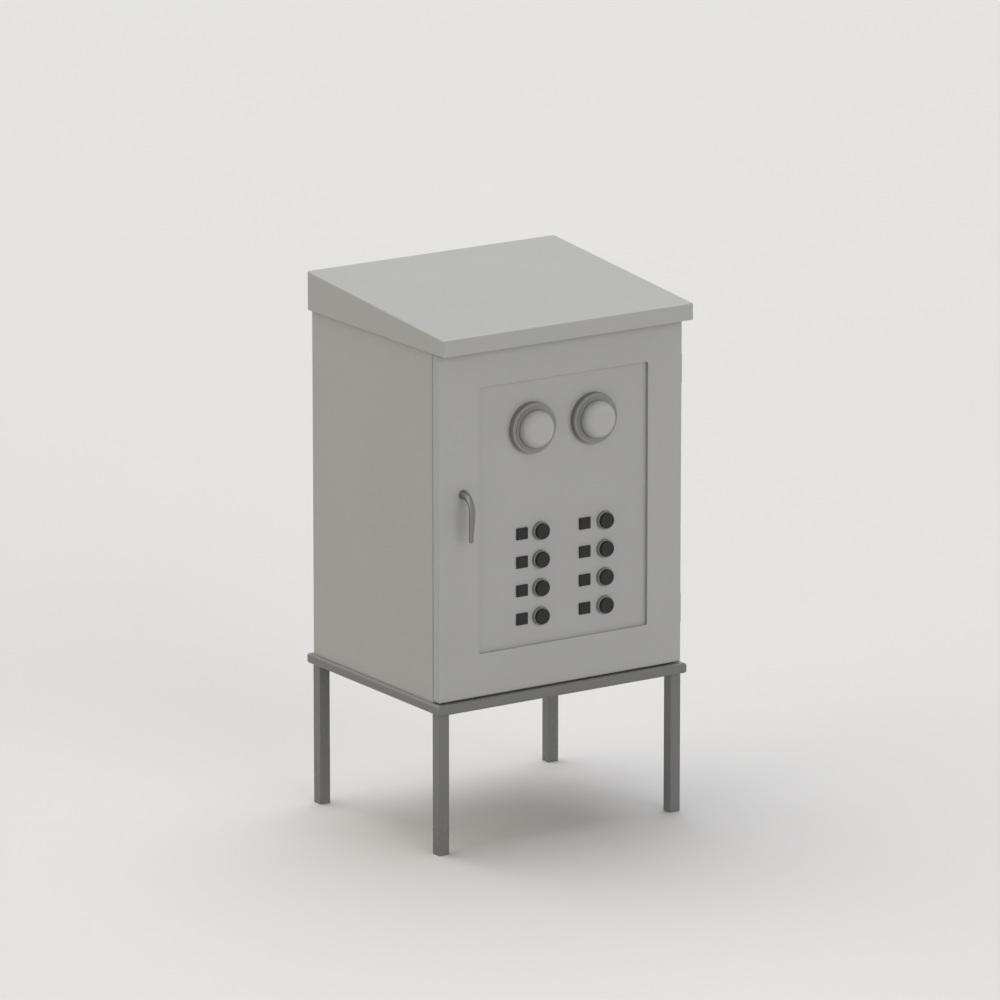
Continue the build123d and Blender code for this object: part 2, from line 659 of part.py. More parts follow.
def door_gasket():
    """Foam strip round the inside of the door."""
    half = GASKET_WIDTH / 2
    lip = SHEET / 2
    y = (DOOR_FACE + SHEET, DOOR_FACE + SHEET + GASKET_THICKNESS)
    outer = slab(
        (-OPENING_HALF - lip - half, OPENING_HALF + lip + half),
        y,
        (OPENING_BOTTOM - lip - half, OPENING_TOP + lip + half),
    )
    inner = slab(
        (half - OPENING_HALF - lip, OPENING_HALF + lip - half),
        (y[0] - CUT_OVERRUN, y[1] + CUT_OVERRUN),
        (OPENING_BOTTOM - lip + half, OPENING_TOP + lip - half),
    )
    return outer - inner


def knuckle(low, high):
    """Hinge barrel with its pin bore."""
    barrel = bar_z(KNUCKLE_RADIUS, HINGE_X, HINGE_Y, (low, high))
    bore = bar_z(PIN_RADIUS + PIN_CLEARANCE, HINGE_X, HINGE_Y, (low - CUT_OVERRUN, high + CUT_OVERRUN))
    return barrel, bore


def hinge_frame_leaves():
    """Lower barrels with plates welded to the shell's side."""
    leaves = []
    for level in HINGE_LEVELS:
        z = (level - KNUCKLE_LENGTH, level)
        barrel, bore = knuckle(*z)
        plate = slab((HALF_WIDTH, HALF_WIDTH + LEAF_THICKNESS), (HINGE_Y, HINGE_Y + LEAF_REACH), z)
        leaves.append(barrel + plate - bore)
    return joined(leaves)


def hinge_door_leaves():
    """Upper barrels with plates fixed to the door's edge."""
    leaves = []
    for level in HINGE_LEVELS:
        low = level + PIN_COLLAR_HEIGHT + KNUCKLE_PLAY
        z = (low, low + KNUCKLE_LENGTH)
        barrel, bore = knuckle(*z)
        front = DOOR_FACE + DOOR_EDGE_RADIUS + LEAF_MARGIN
        plate = slab((HALF_WIDTH, HALF_WIDTH + LEAF_THICKNESS), (front, HINGE_Y), z)
        leaves.append(barrel + plate - bore)
    return joined(leaves)


def hinge_pins():
    """Hinge pins with a collar that carries the door."""
    pins = []
    for level in HINGE_LEVELS:
        top = level + PIN_COLLAR_HEIGHT + KNUCKLE_LENGTH - PIN_TIP_GAP
        pin = bar_z(PIN_RADIUS, HINGE_X, HINGE_Y, (level - KNUCKLE_LENGTH, top))
        pin += bar_z(PIN_COLLAR_RADIUS, HINGE_X, HINGE_Y, (level, level + PIN_COLLAR_HEIGHT))
        pins.append(pin)
    return joined(pins)


def handle_rose():
    """Round rose with a bush through the door."""
    rose = bar_y(ROSE_RADIUS, HANDLE_X, (DOOR_FACE - ROSE_THICKNESS, DOOR_FACE), HANDLE_Z)
    rose = fillet(rose.edges().group_by(Axis.Y)[0], ROSE_EDGE_RADIUS)
    rose += bar_y(BUSH_RADIUS, HANDLE_X, (DOOR_FACE, DOOR_FACE + BUSH_LENGTH), HANDLE_Z)
    through = (DOOR_FACE - ROSE_THICKNESS - CUT_OVERRUN, DOOR_FACE + BUSH_LENGTH + CUT_OVERRUN)
    return rose - bar_y(SPINDLE_RADIUS + SPINDLE_FIT, HANDLE_X, through, HANDLE_Z)


def handle_nut():
    """Nut on the bush behind the door."""
    low = DOOR_FACE + SHEET
    nut = Pos(HANDLE_X, low, HANDLE_Z) * Rot(X=-90) * hexagon(BUSH_NUT_FLATS, BUSH_NUT_HEIGHT)
    through = (low - CUT_OVERRUN, low + BUSH_NUT_HEIGHT + CUT_OVERRUN)
    return nut - bar_y(BUSH_RADIUS + THREAD_CLEARANCE, HANDLE_X, through, HANDLE_Z)


def handle_lever():
    """Cast lever: flared neck out of the rose, wide bend and a tapered grip hanging down."""
    root = -ROSE_THICKNESS - LEVER_PLAY
    bend = JernArc((root, 0), (-1, 0), LEVER_BEND_RADIUS, LEVER_BEND_ANGLE)
    grip = Line(bend @ 1, bend @ 1 + LEVER_GRIP_LENGTH * (bend % 1))
    path = Plane.YZ * (bend + grip)
    radii = (LEVER_ROOT_RADIUS, LEVER_NECK_RADIUS, LEVER_ELBOW_RADIUS, LEVER_GRIP_RADIUS, LEVER_END_RADIUS)
    sections = [
        Plane(origin=path @ share, z_dir=path % share) * Circle(radius)
        for share, radius in zip(LEVER_SECTION_SHARES, radii)
    ]
    lever = sweep(Sketch() + sections, path=path, multisection=True)
    lever = fillet(lever.edges().group_by(Axis.Z)[0], LEVER_END_ROUNDING)
    lever = Pos(HANDLE_X, DOOR_FACE, HANDLE_Z) * lever
    start = DOOR_FACE + root
    socket = (start - SOCKET_DEPTH, start + CUT_OVERRUN)
    return lever - bar_y(SPINDLE_RADIUS + SPINDLE_FIT, HANDLE_X, socket, HANDLE_Z)


def handle_spindle():
    """Spindle from the lever through the bush to the cam, squared at its end."""
    front = DOOR_FACE - ROSE_THICKNESS - LEVER_PLAY - SOCKET_DEPTH
    half = SPINDLE_SQUARE / 2
    spindle = bar_y(SPINDLE_RADIUS, HANDLE_X, (front, CAM_FRONT), HANDLE_Z)
    spindle += slab(
        (HANDLE_X - half, HANDLE_X + half),
        (CAM_FRONT, CAM_FRONT + CAM_THICKNESS),
        (HANDLE_Z - half, HANDLE_Z + half),
    )
    rear = CAM_FRONT + CAM_THICKNESS
    bore = (rear - CAM_SCREW_DEPTH, rear + CUT_OVERRUN)
    return spindle - bar_y(CAM_SCREW_RADIUS + THREAD_CLEARANCE, HANDLE_X, bore, HANDLE_Z)


def latch_cam():
    """Latch cam on the squared spindle, upright while the lever hangs."""
    reach = CAM_REACH - CAM_WIDTH / 2
    blade = Pos(0, reach / 2) * Rot(Z=90) * SlotCenterToCenter(reach, CAM_WIDTH)
    hole = SPINDLE_SQUARE + 2 * SPINDLE_FIT
    cam = extrude(Plane.XZ * (blade - Rectangle(hole, hole)), -CAM_THICKNESS)
    return Pos(HANDLE_X, CAM_FRONT, HANDLE_Z) * cam


def cam_screw():
    """Screw that holds the cam on the spindle."""
    rear = CAM_FRONT + CAM_THICKNESS
    head = bar_y(CAM_SCREW_HEAD_RADIUS, HANDLE_X, (rear, rear + CAM_SCREW_HEAD_HEIGHT), HANDLE_Z)
    shank = bar_y(CAM_SCREW_RADIUS, HANDLE_X, (rear - CAM_SCREW_DEPTH, rear), HANDLE_Z)
    return head + shank


def lamp_bezel(x):
    """Lamp bezel with a raised collar round the lens and a skirt through the door."""
    inner = LAMP_SKIRT_RADIUS - LAMP_SKIRT_WALL
    collar = LAMP_BEZEL_HEIGHT + LAMP_COLLAR_RISE
    bezel = turned(
        [
            (inner, -LAMP_SKIRT_LENGTH),
            (LAMP_SKIRT_RADIUS, -LAMP_SKIRT_LENGTH),
            (LAMP_SKIRT_RADIUS, 0),
            (LAMP_BEZEL_RADIUS, 0),
            (LAMP_BEZEL_RADIUS, LAMP_BEZEL_HEIGHT),
            (LAMP_COLLAR_RADIUS, LAMP_BEZEL_HEIGHT),
            (LAMP_COLLAR_RADIUS, collar),
            (LAMP_SEAT_RADIUS, collar),
            (LAMP_SEAT_RADIUS, LAMP_SEAT_HEIGHT),
            (inner, LAMP_SEAT_HEIGHT),
        ],
        x,
        RECESS_FLOOR,
        LAMP_Z,
    )
    rims = bezel.edges().filter_by(GeomType.CIRCLE).group_by(SortBy.RADIUS)[-1]
    return fillet(rims.sort_by(Axis.Y)[0], LAMP_BEZEL_EDGE_RADIUS)


def lens_outline(radius, height, shoulder, foot):
    """Half outline of a dome with a round shoulder and a low crown."""
    side_top = height - LENS_CROWN_RISE - shoulder
    flat = radius - shoulder
    lean = sin(radians(45))
    side = Line((radius, foot), (radius, side_top))
    edge = ThreePointArc(
        (radius, side_top),
        (flat + shoulder * lean, side_top + shoulder * lean),
        (flat, height - LENS_CROWN_RISE),
    )
    crown_radius = (flat * flat + LENS_CROWN_RISE * LENS_CROWN_RISE) / (2 * LENS_CROWN_RISE)
    crown_half = (crown_radius * crown_radius - flat * flat / 4) ** 0.5
    crown = ThreePointArc(
        (flat, height - LENS_CROWN_RISE),
        (flat / 2, height - crown_radius + crown_half),
        (0, height),
    )
    axis = Line((0, height), (0, foot))
    base = Line((0, foot), (radius, foot))
    return make_face([side, edge, crown, axis, base])


def lamp_lens(x):
    """Hollow opal lens that stands on the seat in its bezel."""
    foot = LAMP_SEAT_HEIGHT
    outline = lens_outline(LENS_RADIUS, LENS_HEIGHT, LENS_SHOULDER_RADIUS, foot)
    inner = LENS_RADIUS - LENS_WALL
    outline -= lens_outline(inner, LENS_HEIGHT - LENS_WALL, LENS_SHOULDER_RADIUS - LENS_WALL, foot)
    return Pos(x, RECESS_FLOOR, LAMP_Z) * Rot(Z=180) * revolve(outline, Axis.Y)


def lamp_housing(x):
    """Lamp can behind the door with a terminal box."""
    bore = LAMP_SKIRT_RADIUS + HOUSING_FIT
    floor = -SHEET - HOUSING_LENGTH
    can = turned(
        [
            (0, floor),
            (HOUSING_RADIUS, floor),
            (HOUSING_RADIUS, -SHEET),
            (bore, -SHEET),
            (bore, floor + HOUSING_WALL),
            (0, floor + HOUSING_WALL),
        ],
        x,
        RECESS_FLOOR,
        LAMP_Z,
    )
    rear = RECESS_FLOOR - floor
    half_x = HOUSING_TERMINAL_WIDTH / 2
    half_z = HOUSING_TERMINAL_HEIGHT / 2
    return can + slab(
        (x - half_x, x + half_x),
        (rear, rear + HOUSING_TERMINAL_LENGTH),
        (LAMP_Z - half_z, LAMP_Z + half_z),
    )


def lamp_boards():
    """Light-emitting boards on the floors of the lamp cans."""
    floor = HOUSING_WALL - SHEET - HOUSING_LENGTH
    points = [
        (0, floor),
        (BOARD_RADIUS, floor),
        (BOARD_RADIUS, floor + BOARD_THICKNESS),
        (EMITTER_RADIUS, floor + BOARD_THICKNESS),
        (EMITTER_RADIUS, floor + BOARD_THICKNESS + EMITTER_HEIGHT),
        (0, floor + BOARD_THICKNESS + EMITTER_HEIGHT),
    ]
    return joined([turned(points, x, RECESS_FLOOR, LAMP_Z) for x in LAMP_PLACES])


def button_bezel(x, z):
    """Ring bezel with a neck through the door."""
    bore = BUTTON_STEM_RADIUS + BUTTON_STEM_CLEARANCE
    seat = BUTTON_CAP_RADIUS + BUTTON_CAP_CLEARANCE
    return turned(
        [
            (bore, -BUTTON_NECK_LENGTH),
            (BUTTON_NECK_RADIUS, -BUTTON_NECK_LENGTH),
            (BUTTON_NECK_RADIUS, 0),
            (BUTTON_BEZEL_RADIUS, 0),
            (BUTTON_BEZEL_RADIUS, BUTTON_BEZEL_HEIGHT - BUTTON_BEZEL_CHAMFER),
            (BUTTON_BEZEL_RADIUS - BUTTON_BEZEL_CHAMFER, BUTTON_BEZEL_HEIGHT),
            (seat, BUTTON_BEZEL_HEIGHT),
            (seat, BUTTON_SEAT_HEIGHT),
            (bore, BUTTON_SEAT_HEIGHT),
        ],
        x,
        RECESS_FLOOR,
        z,
    )


def button_cap(x, z):
    """Push cap with its stem."""
    low = BUTTON_BEZEL_HEIGHT - BUTTON_CAP_LAP
    tail = BUTTON_TRAVEL + BUTTON_STEM_GAP - BUTTON_NECK_LENGTH
    cap = turned(
        [
            (0, tail),
            (BUTTON_STEM_RADIUS, tail),
            (BUTTON_STEM_RADIUS, low),
            (BUTTON_CAP_RADIUS, low),
            (BUTTON_CAP_RADIUS, BUTTON_CAP_HEIGHT),
            (0, BUTTON_CAP_HEIGHT),
        ],
        x,
        RECESS_FLOOR,
        z,
    )
    return fillet(cap.edges().group_by(Axis.Y)[0], BUTTON_CAP_EDGE_RADIUS)


def button_nut(x, z):
    """Hexagon nut on the neck behind the door."""
    low = RECESS_FLOOR + SHEET
    nut = Pos(x, low, z) * Rot(X=-90) * hexagon(2 * BUTTON_NUT_RADIUS, BUTTON_NUT_HEIGHT)
    through = (low - CUT_OVERRUN, low + BUTTON_NUT_HEIGHT + CUT_OVERRUN)
    return nut - bar_y(BUTTON_NECK_RADIUS + THREAD_CLEARANCE, x, through, z)


def contact_block(x, z):
    """Contact block behind a button, with its terminal wells."""
    front = RECESS_FLOOR + BUTTON_NECK_LENGTH
    rear = front + CONTACT_LENGTH
    half_x = CONTACT_WIDTH / 2
    half_z = CONTACT_HEIGHT / 2
    block = slab((x - half_x, x + half_x), (front, rear), (z - half_z, z + half_z))
    block = chamfer(block.edges().group_by(Axis.Y)[-1], CONTACT_EDGE)
    well = (rear - CONTACT_WELL_DEPTH, rear + CUT_OVERRUN)
    half = CONTACT_WELL_WIDTH / 2
    for step in (-1, 1):
        level = z + step * CONTACT_WELL_SPACING / 2
        block -= slab((x - half, x + half), well, (level - half, level + half))
    return block


def legend_plate(x, z):
    """Blank plate left of a button."""
    half_x = LEGEND_WIDTH / 2
    half_z = LEGEND_HEIGHT / 2
    plate = slab(
        (x - half_x, x + half_x),
        (RECESS_FLOOR - LEGEND_THICKNESS, RECESS_FLOOR),
        (z - half_z, z + half_z),
    )
    return chamfer(plate.edges().group_by(Axis.Y)[0], LEGEND_CHAMFER)


def mounting_plate():
    """Flat plate that carries the devices."""
    half_x = PLATE_WIDTH / 2
    half_z = PLATE_HEIGHT / 2
    plate = slab((-half_x, half_x), (PLATE_FRONT, PLATE_REAR), (DOOR_MIDDLE - half_z, DOOR_MIDDLE + half_z))
    plate = fillet(plate.edges().filter_by(Axis.Y), PLATE_CORNER_RADIUS)
    through = (PLATE_FRONT - CUT_OVERRUN, PLATE_REAR + CUT_OVERRUN)
    for x, z in STUD_PLACES:
        plate -= bar_y(BOLT_RADIUS + BOLT_HOLE_CLEARANCE, x, through, z)
    for x, z in hat_screw_places():
        plate -= bar_y(SCREW_RADIUS + SCREW_HOLE_CLEARANCE, x, through, z)
    return plate


def plate_studs():
    """Shouldered studs welded to the rear wall."""
    studs = []
    for x, z in STUD_PLACES:
        foot = bar_y(STUD_FOOT_RADIUS, x, (PLATE_REAR, SHELL_REAR - SHEET), z)
        studs.append(foot + bar_y(BOLT_RADIUS, x, (PLATE_REAR - STUD_THREAD_LENGTH, PLATE_REAR), z))
    return joined(studs)


def plate_nuts():
    """Nuts that hold the mounting plate on its studs."""
    return joined([Pos(x, PLATE_FRONT, z) * Rot(X=90) * hex_nut() for x, z in STUD_PLACES])


def hat_screw_places():
    """Fixing points of both mounting rails."""
    reach = HAT_LENGTH / 2 - HAT_SCREW_INSET
    return [(x * reach, z) for x in (-1, 1) for z in HAT_LEVELS]


def mounting_rail(level):
    """Top-hat rail on the mounting plate."""
    middle = HAT_SHEET / 2
    crown = HAT_CROWN / 2 - middle
    front = HAT_FRONT + middle
    web = PLATE_FRONT - middle
    path = Polyline(
        (front, level - HAT_WIDTH / 2),
        (front, level - crown),
        (web, level - crown),
        (web, level + crown),
        (front, level + crown),
        (front, level + HAT_WIDTH / 2),
    )
    rail = extrude(Plane.YZ * trace(path, line_width=HAT_SHEET), HAT_LENGTH / 2, both=True)
    through = (HAT_FRONT - CUT_OVERRUN, PLATE_FRONT + CUT_OVERRUN)
    for x, z in hat_screw_places():
        rail -= bar_y(SCREW_RADIUS + SCREW_HOLE_CLEARANCE, x, through, z)
    return rail


def rail_screws():
    """Screws that hold the mounting rails."""
    level = PLATE_FRONT - HAT_SHEET
    return joined([Pos(x, level, z) * Rot(X=90) * pan_screw() for x, z in hat_screw_places()])


def clip_device(x, level, width, heights, depths):
    """Stepped device with two claws round the flanges of its rail."""
    across = (x - width / 2, x + width / 2)
    steps = [
        slab(across, (HAT_FRONT - depth, HAT_FRONT), (level - height / 2, level + height / 2))
        for height, depth in zip(heights, depths)
    ]
    body = steps[0] + steps[1]
    hook = HAT_FRONT + HAT_SHEET + CLAW_GAP
    edge = HAT_WIDTH / 2 + CLAW_GAP
    claw = slab(across, (HAT_FRONT, hook + CLAW_THICKNESS), (edge, edge + CLAW_HEIGHT))
    claw += slab(across, (hook, hook + CLAW_THICKNESS), (HAT_WIDTH / 2 - CLAW_BITE, edge))
    return body + Pos(0, 0, level) * (claw + mirror(claw, Plane.XY))


def toggle_pivot():
    """Height and depth of the breaker toggle's pivot."""
    return HAT_FRONT - BREAKER_NOSE_DEPTH + TOGGLE_SETBACK, HAT_LEVELS[1]


def bar_x(radius, length, x, y, z):
    """Round bar along the width about a middle."""
    return Pos(x, y, z) * Rot(Y=90) * Cylinder(radius, length)


def main_breaker():
    """Breaker with a groove between its poles and a slot for the toggle."""
    level = HAT_LEVELS[1]
    heights = (BREAKER_HEIGHT, BREAKER_NOSE_HEIGHT)
    depths = (BREAKER_DEPTH, BREAKER_NOSE_DEPTH)
    body = clip_device(BREAKER_PLACE, level, BREAKER_WIDTH, heights, depths)
    pole = BREAKER_WIDTH / BREAKER_POLES
    front = HAT_FRONT - BREAKER_NOSE_DEPTH
    half_z = BREAKER_HEIGHT / 2 + CUT_OVERRUN
    for index in range(1, BREAKER_POLES):
        middle = BREAKER_PLACE - BREAKER_WIDTH / 2 + index * pole
        groove = (middle - BREAKER_GROOVE / 2, middle + BREAKER_GROOVE / 2)
        body -= slab(groove, (front - CUT_OVERRUN, front + BREAKER_GROOVE), (level - half_z, level + half_z))
    y, z = toggle_pivot()
    slot = TOGGLE_LENGTH + 2 * TOGGLE_CLEARANCE
    return body - bar_x(TOGGLE_RADIUS + TOGGLE_CLEARANCE, slot, BREAKER_PLACE, y, z)


def breaker_toggle():
    """Breaker toggle, up in its on position."""
    y, z = toggle_pivot()
    half = TOGGLE_LENGTH / 2
    lever = slab((-half, half), (-TOGGLE_REACH, 0), (-TOGGLE_THICKNESS / 2, TOGGLE_THICKNESS / 2))
    lever = fillet(lever.edges().group_by(Axis.Y)[0].filter_by(Axis.X), TOGGLE_THICKNESS / 3)
    toggle = bar_x(TOGGLE_RADIUS, TOGGLE_LENGTH, 0, 0, 0) + Rot(X=-TOGGLE_ANGLE) * lever
    return Pos(BREAKER_PLACE, y, z) * toggle


def control_relays():
    """Row of relays on the upper rail."""
    heights = (RELAY_HEIGHT, RELAY_NOSE_HEIGHT)
    depths = (RELAY_DEPTH, RELAY_NOSE_DEPTH)
    places = [RELAY_PLACE + index * RELAY_PITCH for index in range(RELAY_COUNT)]
    return joined([clip_device(x, HAT_LEVELS[1], RELAY_WIDTH, heights, depths) for x in places])


def terminal_blocks():
    """Row of terminal blocks on the lower rail."""
    heights = (TERMINAL_HEIGHT, TERMINAL_NOSE_HEIGHT)
    depths = (TERMINAL_DEPTH, TERMINAL_NOSE_DEPTH)
    places = [TERMINAL_PLACE + index * TERMINAL_PITCH for index in range(TERMINAL_COUNT)]
    return joined([clip_device(x, HAT_LEVELS[0], TERMINAL_WIDTH, heights, depths) for x in places])


def assembly():
    """Every node of the cabinet by name."""
    nodes = {
        "cabinet_wrap": cabinet_wrap(),
        "cabinet_top": cabinet_top(),
        "cabinet_floor": cabinet_floor(),
        "gland_plate": gland_plate(),
        "gland_screws": gland_screws(),
        "rain_roof": rain_roof(),
        "roof_posts": roof_posts(),
        "roof_bolts": roof_bolts(),
        "frame_bolts": frame_bolts(),
        "frame_nuts": frame_nuts(),
        "leg_plugs": leg_plugs(),
        "mounting_plate": mounting_plate(),
        "plate_studs": plate_studs(),
        "plate_nuts": plate_nuts(),
        "mounting_rail_lower": mounting_rail(HAT_LEVELS[0]),
        "mounting_rail_upper": mounting_rail(HAT_LEVELS[1]),
        "rail_screws": rail_screws(),
        "main_breaker": main_breaker(),
        "breaker_toggle": breaker_toggle(),
        "control_relays": control_relays(),
        "terminal_blocks": terminal_blocks(),
        "hinge_frame_leaves": hinge_frame_leaves(),
        "hinge_pins": hinge_pins(),
        "hinge_door_leaves": hinge_door_leaves(),
        "door_panel": door_panel(),
        "door_gasket": door_gasket(),
        "handle_rose": handle_rose(),
        "handle_nut": handle_nut(),
        "handle_lever": handle_lever(),
        "handle_spindle": handle_spindle(),
        "latch_cam": latch_cam(),
        "cam_screw": cam_screw(),
        "lamp_boards": lamp_boards(),
        "button_bezels": joined([button_bezel(x, z) for x, z in BUTTON_PLACES]),
        "button_nuts": joined([button_nut(x, z) for x, z in BUTTON_PLACES]),
        "contact_blocks": joined([contact_block(x, z) for x, z in BUTTON_PLACES]),
        "legend_plates": joined([legend_plate(x, z) for x, z in LEGEND_PLACES]),
    }
    nodes.update(base_rails())
    for name, (x, y) in leg_places().items():
        nodes["leg_" + name] = leg(x, y)
    for name, x in zip(("left", "right"), LAMP_PLACES):
        nodes["lamp_bezel_" + name] = lamp_bezel(x)
        nodes["lamp_lens_" + name] = lamp_lens(x)
        nodes["lamp_housing_" + name] = lamp_housing(x)
    for number, (x, z) in enumerate(BUTTON_PLACES, start=1):
        nodes[f"button_cap_{number}"] = button_cap(x, z)
    return nodes


os.makedirs("parts", exist_ok=True)
for node, shape in assembly().items():
    export_step(shape, f"parts/{node}.step")
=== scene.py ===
from math import asin, cos, pi, radians, sin

import bmesh
import bpy
from mathutils import Matrix, Vector


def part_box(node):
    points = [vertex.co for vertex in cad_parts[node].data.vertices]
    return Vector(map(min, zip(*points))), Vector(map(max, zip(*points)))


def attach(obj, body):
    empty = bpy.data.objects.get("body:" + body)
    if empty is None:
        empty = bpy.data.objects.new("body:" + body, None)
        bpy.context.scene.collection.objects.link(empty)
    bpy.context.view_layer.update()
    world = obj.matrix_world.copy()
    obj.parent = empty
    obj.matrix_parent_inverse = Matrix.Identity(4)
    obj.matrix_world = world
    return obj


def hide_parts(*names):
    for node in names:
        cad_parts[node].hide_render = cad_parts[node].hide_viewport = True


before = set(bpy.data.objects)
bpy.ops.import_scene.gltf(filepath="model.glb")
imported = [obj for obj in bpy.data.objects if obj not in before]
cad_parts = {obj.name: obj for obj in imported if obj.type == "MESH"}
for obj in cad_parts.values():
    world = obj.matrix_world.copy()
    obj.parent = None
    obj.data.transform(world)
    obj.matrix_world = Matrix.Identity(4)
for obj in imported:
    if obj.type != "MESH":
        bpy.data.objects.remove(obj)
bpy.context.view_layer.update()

# Legs
# Four lengths of 25 mm square steel tube, saw-cut, welded under the corners of the frame
# and sprayed a satin mid grey; moulded plugs close the open ends on the floor.

metre_mm = 1000

# Places of a Mix node's two colours among its inputs, and of the mixed one among its outputs
mix_first = 6
mix_second = 7
mix_result = 2


def linear(hex_colour):
    """Linear colour of an sRGB hex value."""
    parts = [int(hex_colour[place:place + 2], 16) / 255 for place in (1, 3, 5)]
    parts = [part / 12.92 if part <= 0.04045 else ((part + 0.055) / 1.055) ** 2.4 for part in parts]
    return (*parts, 1.0)


def add_node(tree, kind, settings, links=()):
    """New node with its settings and the sockets that feed it."""
    node = tree.nodes.new(kind)
    for name, value in settings.items():
        if isinstance(name, int) or name in node.inputs:
            node.inputs[name].default_value = value
        else:
            setattr(node, name, value)
    for name, source in links:
        tree.links.new(source, node.inputs[name])
    return node


def start_material(name, **constants):
    """Material with a plain principled shader, its tree and the Object coordinates."""
    material = bpy.data.materials.new(name)
    material.use_nodes = True
    tree = material.node_tree
    shader = tree.nodes["Principled BSDF"]
    for socket, value in constants.items():
        shader.inputs[socket.replace("_", " ")].default_value = value
    place = add_node(tree, "ShaderNodeTexCoord", {}).outputs["Object"]
    return material, tree, shader, place


def mottle(tree, shader, colours, colour_by, gloss, gloss_by):
    """Runs the colour between two shades by one pattern and the roughness between two values by another."""
    tint = add_node(
        tree,
        "ShaderNodeMix",
        {"data_type": "RGBA", mix_first: linear(colours[0]), mix_second: linear(colours[1])},
        [(0, colour_by)],
    )
    tree.links.new(tint.outputs[mix_result], shader.inputs["Base Color"])
    sheen = add_node(
        tree,
        "ShaderNodeMapRange",
        {"To Min": gloss[0], "To Max": gloss[1]},
        [("Value", gloss_by)],
    )
    tree.links.new(sheen.outputs["Result"], shader.inputs["Roughness"])


def sprayed_paint(name, colour, shade, roughness, peel_mm):
    """Stoved spray paint on metal: faint clouds as wide as a pass of the gun, and an orange-peel skin."""
    cloud_mm = 180
    gloss_swing = 0.05
    peel_strength = 0.12
    peel_depth = 0.0003
    material, tree, shader, place = start_material(name, IOR=1.5)
    cloud = add_node(
        tree,
        "ShaderNodeTexNoise",
        {"Scale": metre_mm / cloud_mm, "Detail": 3.0, "Roughness": 0.55},
        [("Vector", place)],
    ).outputs["Fac"]
    mottle(tree, shader, (colour, shade), cloud, (roughness - gloss_swing, roughness + gloss_swing), cloud)
    peel = add_node(
        tree,
        "ShaderNodeTexNoise",
        {"Scale": metre_mm / peel_mm, "Detail": 1.0, "Roughness": 0.4},
        [("Vector", place)],
    )
    bump = add_node(
        tree,
        "ShaderNodeBump",
        {"Strength": peel_strength, "Distance": peel_depth},
        [("Height", peel.outputs["Fac"])],
    )
    tree.links.new(bump.outputs["Normal"], shader.inputs["Normal"])
    return material


def grained_skin(name, colours, roughness, grain_mm, detail, relief, **constants):
    """Skin with the grain of its mould, which shifts its colour and gloss and lifts it a little."""
    gloss_swing = 0.06
    grain_depth = 0.0002
    material, tree, shader, place = start_material(name, **constants)
    grain = add_node(
        tree,
        "ShaderNodeTexNoise",
        {"Scale": metre_mm / grain_mm, "Detail": detail, "Roughness": 0.6},
        [("Vector", place)],
    ).outputs["Fac"]
    mottle(tree, shader, colours, grain, (roughness - gloss_swing, roughness + gloss_swing), grain)
    bump = add_node(
        tree,
        "ShaderNodeBump",
        {"Strength": relief, "Distance": grain_depth},
        [("Height", grain)],
    )
    tree.links.new(bump.outputs["Normal"], shader.inputs["Normal"])
    return material


def moulded_plastic(name, colour, worn, roughness, grain_mm, **constants):
    """Moulded plastic: even colour, and the fine spark-eroded grain of the tool."""
    # The real grain is about 0.1 mm wide; it is drawn 1 to 2 mm wide on most pieces, so that it shows
    detail = 2.0
    relief = 0.15
    return grained_skin(name, (colour, worn), roughness, grain_mm, detail, relief, IOR=1.46, **constants)


def dress(material, *names):
    """Gives the named nodes of the frame this material."""
    for name in names:
        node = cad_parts[name]
        if not node.material_slots:
            node.data.materials.append(material)
        for slot in node.material_slots:
            slot.material = material


# Satin spray paint on steel tube: a mid grey that dulls what it mirrors, with soft light along its edges
frame_grey = sprayed_paint("satin_frame_paint", "#686866", "#636362", roughness=0.28, peel_mm=2.2)
dress(frame_grey, "leg_front_left", "leg_front_right", "leg_rear_left", "leg_rear_right")
# Polyethylene as it leaves the mould: black with a dull, waxy gleam
plug_black = moulded_plastic("polyethylene_plug", "#161616", "#1D1D1D", roughness=0.55, grain_mm=1.2)
dress(plug_black, "leg_plugs")

# Base frame
# Ring of four rectangular steel tubes with rounded edges, mitred and welded at the corners,
# ground flush and sprayed with the legs.

dress(frame_grey, "base_rail_front", "base_rail_rear", "base_rail_left", "base_rail_right")

# Shell
# Sides and rear bent from one 2 mm sheet, with a top and a floor sheet welded in;
# the front edges are flanged and turned forward as a rain lip. Stoved light grey.

# Stoved paint on sheet steel: an even light grey, hard and half glossy
cabinet_grey = sprayed_paint("stoved_cabinet_paint", "#9A9A98", "#959593", roughness=0.30, peel_mm=2.4)
dress(cabinet_grey, "cabinet_wrap", "cabinet_top", "cabinet_floor")

# Gland plate and fasteners
# Loose galvanised plate over the cable opening in the floor, held by pan-head screws;
# hexagon bolts and weld nuts join the shell to the frame.


def zinc_plate(name, colour, dull, roughness, spangle_mm):
    """Zinc on steel: crystals of slightly different grey and gloss."""
    bright_swing = 0.06
    dull_swing = 0.08
    material, tree, shader, place = start_material(name, Metallic=1.0)
    spangle = add_node(tree, "ShaderNodeTexVoronoi", {"Scale": metre_mm / spangle_mm}, [("Vector", place)])
    shade = add_node(tree, "ShaderNodeSeparateColor", {}, [("Color", spangle.outputs["Color"])])
    gloss = (roughness - bright_swing, roughness + dull_swing)
    mottle(tree, shader, (colour, dull), shade.outputs["Red"], gloss, shade.outputs["Green"])
    return material


# Hot-dipped zinc on sheet: a patchwork of crystals that catch the light each in its own way
zinc_sheet = zinc_plate("galvanised_sheet", "#C2C5C8", "#AEB1B4", roughness=0.36, spangle_mm=9.0)
